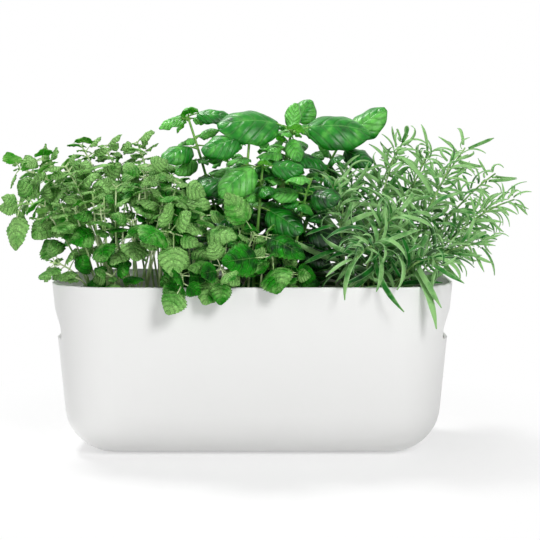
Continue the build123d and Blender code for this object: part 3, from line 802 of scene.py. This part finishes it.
def grown_blade(leaf, habit, form, light_share, draws):
    mesh = blanks[form].data.copy()
    phase = draws.random()
    # a blade's tone holds chance and painted shade from its place in the crown
    tone = light_share * (chance_share * draws.random() + exposure_share * exposure(leaf))
    for vertex in mesh.vertices:
        across, along = -vertex.co.x, (vertex.co.y + 1) / 2
        vertex.co = metres(form.point(leaf, habit, along, across, phase))
    tones = mesh.attributes.new("tone", "FLOAT", "POINT")
    tones.data.foreach_set("value", [tone] * len(mesh.vertices))
    blade = bpy.data.objects.new("blade", mesh)
    bpy.context.scene.collection.objects.link(blade)
    return blade


# stems and stalks: steps along a run and extra ones round a quarter of it, how far a stalk
# runs on along its blade as a share of the leaf, and how thick it is at its foot and its end
# as shares of its usual thickness
run_steps = 8
round_steps = 1
stalk_overlap_share = 0.03
stalk_foot_share = 1.2
stalk_end_share = 0.7


# smooth run of a round stem or stalk, added to a curve: its two ends, the way it sets off
# and the way it arrives, both as handle points, and its radius at each end
def add_run(curve, start, first_handle, second_handle, end, start_radius, end_radius):
    spline = curve.splines.new("BEZIER")
    spline.bezier_points.add(1)
    near, far = spline.bezier_points
    near.co = metres(start)
    far.co = metres(end)
    near.handle_right = metres(first_handle)
    near.handle_left = metres(less(scaled(start, 2), first_handle))
    far.handle_left = metres(second_handle)
    far.handle_right = metres(less(scaled(end, 2), second_handle))
    near.radius = start_radius * mm
    far.radius = end_radius * mm
    spline.use_smooth = True


# a stem's handles stand two thirds of the way to its knee, which bends it as in the model
def add_stem(curve, stem, habit):
    root, knee, tip = stem
    add_run(curve, root, mixed(root, 1 / 3, knee, 2 / 3), mixed(tip, 1 / 3, knee, 2 / 3), tip,
            habit.radius_at(0), habit.radius_at(1))


# a stalk sets off inside its stem and ends a little way along its blade's midrib
def add_stalk(curve, leaf, habit, radius):
    start, heading, _ = leaf.spine(0)
    end, arrival, _ = leaf.spine(habit.stalk_share + stalk_overlap_share)
    reach = math.dist(start, end) / 3
    add_run(curve, less(start, scaled(heading, radius)), added(start, scaled(heading, reach)),
            less(end, scaled(arrival, reach)), end,
            radius * stalk_foot_share, radius * stalk_end_share)


# round stems and stalks in one piece; the bevel is 1, so each point's radius is its own
def stems_and_stalks(stems, stalk_radius):
    select_only()
    bpy.ops.curve.primitive_bezier_curve_add()
    curve = bpy.context.object.data
    curve.splines.clear()
    curve.resolution_u = run_steps
    curve.bevel_depth = 1.0
    curve.bevel_resolution = round_steps
    curve.use_fill_caps = True
    curve.use_radius = True
    for stem in stems:
        add_stem(curve, stem.stem, stem.habit)
        if stalk_radius:
            for leaf in stem.leaves:
                add_stalk(curve, leaf, stem.habit, stalk_radius)
    bpy.ops.object.convert(target="MESH")
    return bpy.context.object


# gives flat blades their thickness, with the under side in the second finish
def thickened(piece, thickness):
    select_only(piece)
    bpy.ops.object.modifier_add(type="SOLIDIFY")
    wall = piece.modifiers[-1]
    wall.thickness = thickness * mm
    wall.offset = 0
    wall.material_offset = 1
    wall.material_offset_rim = 0
    wall.use_even_offset = True
    bpy.ops.object.modifier_apply(modifier=wall.name)


# how one herb shows: its full and its young blades, how thick they and its stalks are in
# millimetres, its finishes, which are upper side, under side and stem, and its filling
class HerbLook:
    def __init__(self, form, young_form, blade_thickness, stalk_radius, finishes, filling):
        self.form = form
        self.young_form = young_form
        self.blade_thickness = blade_thickness
        self.stalk_radius = stalk_radius
        self.finishes = finishes
        self.filling = filling


# blades of all stems of a shoot, in one piece
def foliage_of(stems, look, draws):
    blades = []
    for stem in stems:
        for leaf in stem.leaves:
            if leaf in stem.young:
                form, light_share = look.young_form, young_light_share
            else:
                form, light_share = look.form, old_light_share
            blades.append(grown_blade(leaf, stem.habit, form, light_share, draws))
    foliage = joined(blades)
    upper, under, _ = look.finishes
    finish_in(foliage, upper, under)
    thickened(foliage, look.blade_thickness)
    return foliage


# one shoot as it shows: blades, then stem and stalks
def dress_shoot(shoot, look, draws):
    stems = filled(shoot, look.filling, draws)
    foliage = foliage_of(stems, look, draws)
    stalks = stems_and_stalks(stems, look.stalk_radius)
    finish_in(stalks, look.finishes[2])
    piece = joined([foliage, stalks])
    select_only(piece)
    bpy.ops.object.shade_smooth()
    piece.name = shoot.name + "_grown"
    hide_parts(shoot.name)
    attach(piece, "liner")


# sRGB hex colour turned to linear, by the standard's own curve
def colour(text):
    parts = [int(text[place:place + 2], 16) / 255 for place in (1, 3, 5)]
    linear = [part / 12.92 if part <= 0.04045 else ((part + 0.055) / 1.055) ** 2.4
              for part in parts]
    return (*linear, 1.0)


# how many times a pattern of a real size in millimetres goes into a metre
def repeats(size):
    return 1 / (size * mm)


# fills a node's inputs, each with a value or another node's output
def fill_inputs(tree, node, inputs):
    for socket, value in inputs.items():
        if isinstance(value, bpy.types.NodeSocket):
            tree.links.new(value, node.inputs[socket])
        else:
            node.inputs[socket].default_value = value


# adds a node with its inputs and settings, and gives back its outputs
def add_node(tree, kind, inputs=None, **settings):
    made = tree.nodes.new(kind)
    for name, value in settings.items():
        setattr(made, name, value)
    fill_inputs(tree, made, inputs or {})
    return made.outputs


def new_material(name):
    material = bpy.data.materials.new(name)
    material.use_nodes = True
    tree = material.node_tree
    return material, tree, tree.nodes["Principled BSDF"]


# leaf finishes: the size of the cloudy patches of green, in millimetres, how strongly they
# show and what that takes off the tone, and the tones over which deep green turns to middle
# green and middle green to bright
patch_size = 11.8
patch_share = 0.9
patch_loss = 0.15
tone_steps = ((0.2, 0.55), (0.5, 0.85))

# half widths of the side veins and of the trough about them, as shares of the way from one
# to the next, half width of the midrib and start of the pale or dark margin, as shares of
# the way across, how strongly side veins show beside the midrib, how far into its cell a
# crease reaches, and how deep creases are beside veins
vein_width_share = 0.07
trough_width_share = 0.25
rib_width_share = 0.06
margin_start_share = 0.72
side_vein_share = 0.6
crease_reach_share = 0.4
crease_depth_share = 2.0
leaf_ior = 1.42


# how a herb's veins and creases lie on its blade's own map: pairs of side veins, their slope,
# and how many creases go across and along it, from their real sizes in millimetres
class Veining:
    def __init__(self, habit, pairs, slope, crease_width, crease_length):
        blade_width = habit.leaf_length * habit.width_share
        blade_length = habit.leaf_length * (1 - habit.stalk_share)
        self.pairs = float(pairs)
        self.slope = slope
        self.creases = (blade_width / crease_width, blade_length / crease_length, 1.0)


# green of a living leaf in cloudy patches, deep where it is old and in painted shade and bright
# where it is young and in painted light; each blade carries its own tone
def leaf_green(tree, tones, shade):
    tone = add_node(tree, "ShaderNodeAttribute", attribute_name="tone")["Fac"]
    spot = add_node(tree, "ShaderNodeTexCoord")["Object"]
    patch = add_node(tree, "ShaderNodeTexNoise",
                     {"Vector": spot, "Scale": repeats(patch_size), "Detail": 4.0})[0]
    patched = add_node(tree, "ShaderNodeMath", {0: patch, 1: patch_share, 2: -patch_loss - shade},
                       operation="MULTIPLY_ADD")[0]
    level = add_node(tree, "ShaderNodeMath", {0: tone, 1: patched}, operation="ADD")[0]
    green = colour(tones[0])
    for text, (low, high) in zip(tones[1:], tone_steps):
        step = add_node(tree, "ShaderNodeMapRange", {0: level, 1: low, 2: high},
                        interpolation_type="SMOOTHSTEP")[0]
        green = add_node(tree, "ShaderNodeMix", {0: step, 6: green, 7: colour(text)},
                         data_type="RGBA")[2]
    return green


# way from the nearest side vein, from 0 on it to a half midway to the next
def way_from_vein(tree, across, along, veining):
    curved = add_node(tree, "ShaderNodeMath", {0: across, 1: vein_bend}, operation="POWER")[0]
    run = add_node(tree, "ShaderNodeMath", {0: along, 1: veining.pairs}, operation="MULTIPLY")[0]
    place = add_node(tree, "ShaderNodeMath", {0: curved, 1: -veining.slope, 2: run},
                     operation="MULTIPLY_ADD")[0]
    return add_node(tree, "ShaderNodeMath", {0: place, 1: 0.5}, operation="PINGPONG")[0]


# living leaf, its green laid in patches and its midrib, side veins, creases and margin laid out
# on the blade's own map; tones are its deep, middle and bright greens, and the deep green is
# painted as shade into its creases and into the troughs along its side veins
def leaf_material(name, veining, tones, vein, margin, shade, roughness, gloss, relief,
                  vein_share, trough_shade_share, crease_shade_and_depth, margin_share):
    material, tree, shader = new_material(name)
    place = add_node(tree, "ShaderNodeUVMap")[0]
    parts = add_node(tree, "ShaderNodeSeparateXYZ", {0: place})
    centred = add_node(tree, "ShaderNodeMath", {0: parts[0], 1: 2.0, 2: -1.0},
                       operation="MULTIPLY_ADD")[0]
    across = add_node(tree, "ShaderNodeMath", {0: centred}, operation="ABSOLUTE")[0]
    off_vein = way_from_vein(tree, across, parts[1], veining)
    veins = add_node(tree, "ShaderNodeMapRange",
                     {0: off_vein, 2: vein_width_share, 3: side_vein_share, 4: 0.0},
                     interpolation_type="SMOOTHSTEP")[0]
    midrib = add_node(tree, "ShaderNodeMapRange",
                      {0: across, 2: rib_width_share, 3: 1.0, 4: 0.0},
                      interpolation_type="SMOOTHSTEP")[0]
    lines = add_node(tree, "ShaderNodeMath", {0: midrib, 1: veins}, operation="MAXIMUM")[0]
    trough = add_node(tree, "ShaderNodeMapRange",
                      {0: off_vein, 2: trough_width_share, 3: 1.0, 4: 0.0},
                      interpolation_type="SMOOTHSTEP")[0]
    net = add_node(tree, "ShaderNodeMapping", {0: place, 3: veining.creases})[0]
    cells = add_node(tree, "ShaderNodeTexVoronoi", {"Vector": net, "Scale": 1.0},
                     feature="DISTANCE_TO_EDGE")[0]
    creases = add_node(tree, "ShaderNodeMapRange",
                       {0: cells, 2: crease_reach_share, 3: 1.0, 4: 0.0},
                       interpolation_type="SMOOTHSTEP")[0]
    rim = add_node(tree, "ShaderNodeMapRange", {0: across, 1: margin_start_share},
                   interpolation_type="SMOOTHSTEP")[0]
    painted = leaf_green(tree, tones, shade)
    # creases and the troughs along the side veins take the deep green as painted shade; the lines
    # and the margin are then laid over in the vein and margin colours
    layers = [(creases, crease_shade_and_depth, tones[0]), (trough, trough_shade_share, tones[0]),
              (lines, vein_share, vein), (rim, margin_share, margin)]
    for cover, strength, text in layers:
        share = add_node(tree, "ShaderNodeMath", {0: cover, 1: strength},
                         operation="MULTIPLY")[0]
        painted = add_node(tree, "ShaderNodeMix", {0: share, 6: painted, 7: colour(text)},
                           data_type="RGBA")[2]
    sunk = add_node(tree, "ShaderNodeMath", {0: midrib, 1: trough}, operation="MAXIMUM")[0]
    depth = add_node(tree, "ShaderNodeMath",
                     {0: creases, 1: crease_depth_share * crease_shade_and_depth, 2: sunk},
                     operation="MULTIPLY_ADD")[0]
    bump = add_node(tree, "ShaderNodeBump", {"Height": depth, "Distance": relief * mm},
                    invert=True)[0]
    fill_inputs(tree, shader, {"Base Color": painted, "Normal": bump, "Roughness": roughness,
                               "Specular IOR Level": gloss, "IOR": leaf_ior})
    return material


# soft herb stem: round and faintly shiny, with streaks drawn out upwards by its ribs and
# fine hairs, in millimetres
streak_size = 4.5
streak_length_share = 5.0
streak_range = (0.3, 0.7)
streak_relief = 0.2
stem_ior = 1.4


def stem_material(name, deep, light):
    material, tree, shader = new_material(name)
    spot = add_node(tree, "ShaderNodeTexCoord")["Object"]
    drawn_out = add_node(tree, "ShaderNodeMapping",
                         {0: spot, 3: (1.0, 1.0, 1 / streak_length_share)})[0]
    streaks = add_node(tree, "ShaderNodeTexNoise",
                       {"Vector": drawn_out, "Scale": repeats(streak_size), "Detail": 3.0})[0]
    low, high = streak_range
    share = add_node(tree, "ShaderNodeMapRange", {0: streaks, 1: low, 2: high},
                     interpolation_type="SMOOTHSTEP")[0]
    painted = add_node(tree, "ShaderNodeMix", {0: share, 6: colour(deep), 7: colour(light)},
                       data_type="RGBA")[2]
    bump = add_node(tree, "ShaderNodeBump",
                    {"Height": streaks, "Strength": 0.3, "Distance": streak_relief * mm})[0]
    fill_inputs(tree, shader, {"Base Color": painted, "Normal": bump, "Roughness": 0.45,
                               "IOR": stem_ior})
    return material


# white polypropylene, injection moulded: an even, slightly milky white whose sheen is broad
# and soft; the pebble that a mould leaves is finer than a pixel, so it is drawn coarser
clouding_size = 167.0
clouding_share = 0.12
clouded_white = "#dcdcda"
pebble_size = 1.1
pebble_relief = 0.1
polypropylene_ior = 1.49


def white_polypropylene(name, white, roughness):
    material, tree, shader = new_material(name)
    spot = add_node(tree, "ShaderNodeTexCoord")["Object"]
    clouds = add_node(tree, "ShaderNodeTexNoise",
                      {"Vector": spot, "Scale": repeats(clouding_size), "Detail": 2.0})[0]
    share = add_node(tree, "ShaderNodeMath", {0: clouds, 1: clouding_share},
                     operation="MULTIPLY")[0]
    painted = add_node(tree, "ShaderNodeMix",
                       {0: share, 6: colour(white), 7: colour(clouded_white)},
                       data_type="RGBA")[2]
    pebble = add_node(tree, "ShaderNodeTexNoise",
                      {"Vector": spot, "Scale": repeats(pebble_size), "Detail": 2.0})[0]
    bump = add_node(tree, "ShaderNodeBump",
                    {"Height": pebble, "Strength": 0.12, "Distance": pebble_relief * mm})[0]
    fill_inputs(tree, shader, {"Base Color": painted, "Normal": bump, "Roughness": roughness,
                               "IOR": polypropylene_ior})
    return material


# damp potting mix of peat and bark: dark and dull, with crumbs that catch the light and
# paler fibres in patches
crumb_size = 2.4
fibre_patch_size = 8.3
fibre_range = (0.35, 0.75)
crumb_relief = 1.0
mix_ior = 1.4


def damp_mix(name, deep, light):
    material, tree, shader = new_material(name)
    spot = add_node(tree, "ShaderNodeTexCoord")["Object"]
    crumbs = add_node(tree, "ShaderNodeTexVoronoi",
                      {"Vector": spot, "Scale": repeats(crumb_size)})["Distance"]
    fibres = add_node(tree, "ShaderNodeTexNoise",
                      {"Vector": spot, "Scale": repeats(fibre_patch_size), "Detail": 5.0})[0]
    low, high = fibre_range
    share = add_node(tree, "ShaderNodeMapRange", {0: fibres, 1: low, 2: high},
                     interpolation_type="SMOOTHSTEP")[0]
    painted = add_node(tree, "ShaderNodeMix", {0: share, 6: colour(deep), 7: colour(light)},
                       data_type="RGBA")[2]
    bump = add_node(tree, "ShaderNodeBump",
                    {"Height": crumbs, "Strength": 0.8, "Distance": crumb_relief * mm})[0]
    fill_inputs(tree, shader, {"Base Color": painted, "Normal": bump, "Roughness": 0.9,
                               "IOR": mix_ior})
    return material


satin_white = white_polypropylene("white polypropylene, satin moulded", "#f3f3f2", 0.35)
matt_white = white_polypropylene("white polypropylene, matt moulded", "#e9e9e7", 0.5)
bed = damp_mix("damp potting mix", "#1d140d", "#4a3524")
root_peat = damp_mix("root ball of peat and roots", "#241a11", "#6b5138")
carried_over = {"outer_tub": satin_white, "inner_liner": matt_white, "potting_mix": bed,
                "root_ball_left": root_peat, "root_ball_middle": root_peat,
                "root_ball_right": root_peat}
for node, material in carried_over.items():
    finish_in(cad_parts[node], material)

# lemon balm: thin, softly hairy leaves, so matt and fresh green, quilted between sunk veins,
# whose troughs and creases are darkened with painted shade, with a paler toothed margin; the
# under side is paler and duller
balm_veining = Veining(lemon_balm, pairs=5, slope=1.3, crease_width=3.6, crease_length=2.46)
balm_finishes = (
    leaf_material("lemon balm leaf, upper side", balm_veining,
                  ("#022c08", "#27a414", "#aef086"), vein="#9ee878", margin="#96e66c",
                  shade=-0.05, roughness=0.5, gloss=0.15, relief=0.9, vein_share=0.22,
                  trough_shade_share=0.3, crease_shade_and_depth=0.35, margin_share=0.15),
    leaf_material("lemon balm leaf, under side", balm_veining,
                  ("#0d5a0c", "#46c022", "#a8f07a"), vein="#b8f294", margin="#aaf084",
                  shade=0.28, roughness=0.65, gloss=0.1, relief=0.6, vein_share=0.35,
                  trough_shade_share=0.1, crease_shade_and_depth=0.2, margin_share=0.12),
    stem_material("lemon balm stem", "#a4d078", "#eefccb"))

# basil: smooth waxy leaves, so deeper green with a clear sheen on the swells between sunk veins,
# whose troughs are darkened with painted shade, and an upper margin darkened with painted shade
# where it turns down; the under side is duller and paler
basil_veining = Veining(basil, pairs=5, slope=1.9, crease_width=4.2, crease_length=3.55)
basil_finishes = (
    leaf_material("basil leaf, upper side", basil_veining,
                  ("#02280a", "#128a14", "#76d85a"), vein="#8cdc6e", margin="#063c10",
                  shade=0.2, roughness=0.38, gloss=0.55, relief=0.4, vein_share=0.25,
                  trough_shade_share=0.35, crease_shade_and_depth=0.04, margin_share=0.2),
    leaf_material("basil leaf, under side", basil_veining,
                  ("#0a5a0c", "#30b414", "#92f058"), vein="#a8f080", margin="#9ae270",
                  shade=0.3, roughness=0.5, gloss=0.15, relief=0.3, vein_share=0.35,
                  trough_shade_share=0.15, crease_shade_and_depth=0.04, margin_share=0.15),
    stem_material("basil stem", "#4c962c", "#a4d670"))

# rosemary: leathery needles, dark with a sunk midrib above and pale felt beneath, which
# shows at the rolled margins; with no side veins, the vein's colour tints the whole needle
needle_veining = Veining(rosemary, pairs=0, slope=0.0, crease_width=0.9, crease_length=1.47)
rosemary_finishes = (
    leaf_material("rosemary needle, upper side", needle_veining,
                  ("#021e08", "#1f8c24", "#b2f096"), vein="#08300e", margin="#c4ecb2",
                  shade=0.0, roughness=0.42, gloss=0.2, relief=0.5, vein_share=0.4,
                  trough_shade_share=0.0, crease_shade_and_depth=0.1, margin_share=0.4),
    leaf_material("rosemary needle, under side", needle_veining,
                  ("#0a4c14", "#4cae3e", "#bcf49c"), vein="#e0f8d2", margin="#e0f8d2",
                  shade=0.3, roughness=0.7, gloss=0.1, relief=0.3, vein_share=0.2,
                  trough_shade_share=0.0, crease_shade_and_depth=0.1, margin_share=0.4),
    stem_material("rosemary stem", "#4c8234", "#a8d080"))

looks = {
    "lemon_balm": HerbLook(balm_blade, young_balm_blade, blade_thickness=0.35,
                           stalk_radius=0.55, finishes=balm_finishes, filling=balm_filling),
    "basil": HerbLook(basil_blade, young_basil_blade, blade_thickness=0.4, stalk_radius=0.9,
                      finishes=basil_finishes, filling=basil_filling),
    "rosemary": HerbLook(needle, young_needle, blade_thickness=0.6, stalk_radius=0.0,
                         finishes=rosemary_finishes, filling=rosemary_filling)}
blanks = {form: blank_blade(form)
          for look in looks.values() for form in (look.form, look.young_form)}
filling_draws = random.Random(filling_seed)
for shoot in grow():
    herb = shoot.name.rsplit("_", 2)[0]
    dress_shoot(shoot, looks[herb], filling_draws)
for blank in blanks.values():
    bpy.data.objects.remove(blank)


# camera, as the photograph was taken: its picture and film, how far off it stands, how far
# down it looks and the point that it looks at
image_size = 540
film_width = 36.0
focal_length = 1300.0
camera_distance = 1300.0
camera_tilt = math.radians(5.61)
sight_x = 17.1
sight_height = 175.4

camera_y = -camera_distance * math.cos(camera_tilt)
camera_z = sight_height + camera_distance * math.sin(camera_tilt)
select_only()
bpy.ops.object.camera_add(location=metres((sight_x, camera_y, camera_z)),
                          rotation=(math.pi / 2 - camera_tilt, 0, 0))
camera = bpy.context.object
camera.data.sensor_width = film_width
camera.data.lens = film_width * focal_length / image_size
bpy.context.scene.camera = camera

# studio, in metres: the floor's side, the share of its own white that shows under the
# shadow, and how far from the planter's middle that share begins and stops to rise
floor_side = 6.0
floor_glow = 0.55
glow_from = 0.1
glow_to = 0.45

# strength of the white surroundings: as light on the planter, and as it is seen
surround_light = 0.12
surround_seen = 1.0

# soft lamps: place in metres, turn in degrees, side in metres and power in watts
lamps = [((0.75, -1.5, 1.05), (60, 0, 27), 0.5, 17.0),
         ((-0.7, 0.5, 1.8), (-17, -21, 0), 0.4, 26.0),
         ((-1.5, -1.1, 0.6), (74, 0, -54), 0.8, 5.0)]


# 1 for the rays that look straight at something, and 0 for those that light it
def looked_at(tree, *kinds):
    path = add_node(tree, "ShaderNodeLightPath")
    seen = path["Is Camera Ray"]
    for kind in kinds:
        seen = add_node(tree, "ShaderNodeMath", {0: seen, 1: path[kind]},
                        operation="MAXIMUM")[0]
    return seen


# plain pale floor that keeps the shadow
def studio_floor():
    select_only()
    bpy.ops.mesh.primitive_plane_add(size=floor_side, location=(0, 0, 0))
    floor = bpy.context.object
    floor.name = "studio_floor"
    material, tree, shader = new_material("white studio floor")
    fill_inputs(tree, shader, {"Base Color": colour("#ffffff"), "Roughness": 0.9})
    spot = add_node(tree, "ShaderNodeTexCoord")["Object"]
    reach = add_node(tree, "ShaderNodeVectorMath", {0: spot}, operation="LENGTH")["Value"]
    glow = add_node(tree, "ShaderNodeMapRange",
                    {0: reach, 1: glow_from, 2: glow_to, 3: floor_glow, 4: 1.0},
                    interpolation_type="SMOOTHSTEP")[0]
    share = add_node(tree, "ShaderNodeMath", {0: looked_at(tree, "Is Glossy Ray"), 1: glow},
                     operation="MULTIPLY")[0]
    white = add_node(tree, "ShaderNodeEmission",
                     {"Color": colour("#ffffff"), "Strength": surround_seen})[0]
    both = add_node(tree, "ShaderNodeMixShader", {0: share, 1: shader.outputs[0], 2: white})[0]
    fill_inputs(tree, tree.nodes["Material Output"], {0: both})
    finish_in(floor, material)


def soft_lamp(place, turn, side, power):
    select_only()
    bpy.ops.object.light_add(type="AREA", location=place,
                             rotation=[math.radians(angle) for angle in turn])
    lamp = bpy.context.object
    lamp.data.size = side
    lamp.data.energy = power


studio_floor()
for lamp in lamps:
    soft_lamp(*lamp)

world = bpy.data.worlds.new("studio")
bpy.context.scene.world = world
world.use_nodes = True
sky = world.node_tree
seen = looked_at(sky, "Is Glossy Ray", "Is Transmission Ray")
strength = add_node(sky, "ShaderNodeMapRange", {0: seen, 3: surround_light, 4: surround_seen})[0]
fill_inputs(sky, sky.nodes["Background"], {0: colour("#ffffff"), 1: strength})
bpy.context.scene.view_settings.view_transform = "Standard"
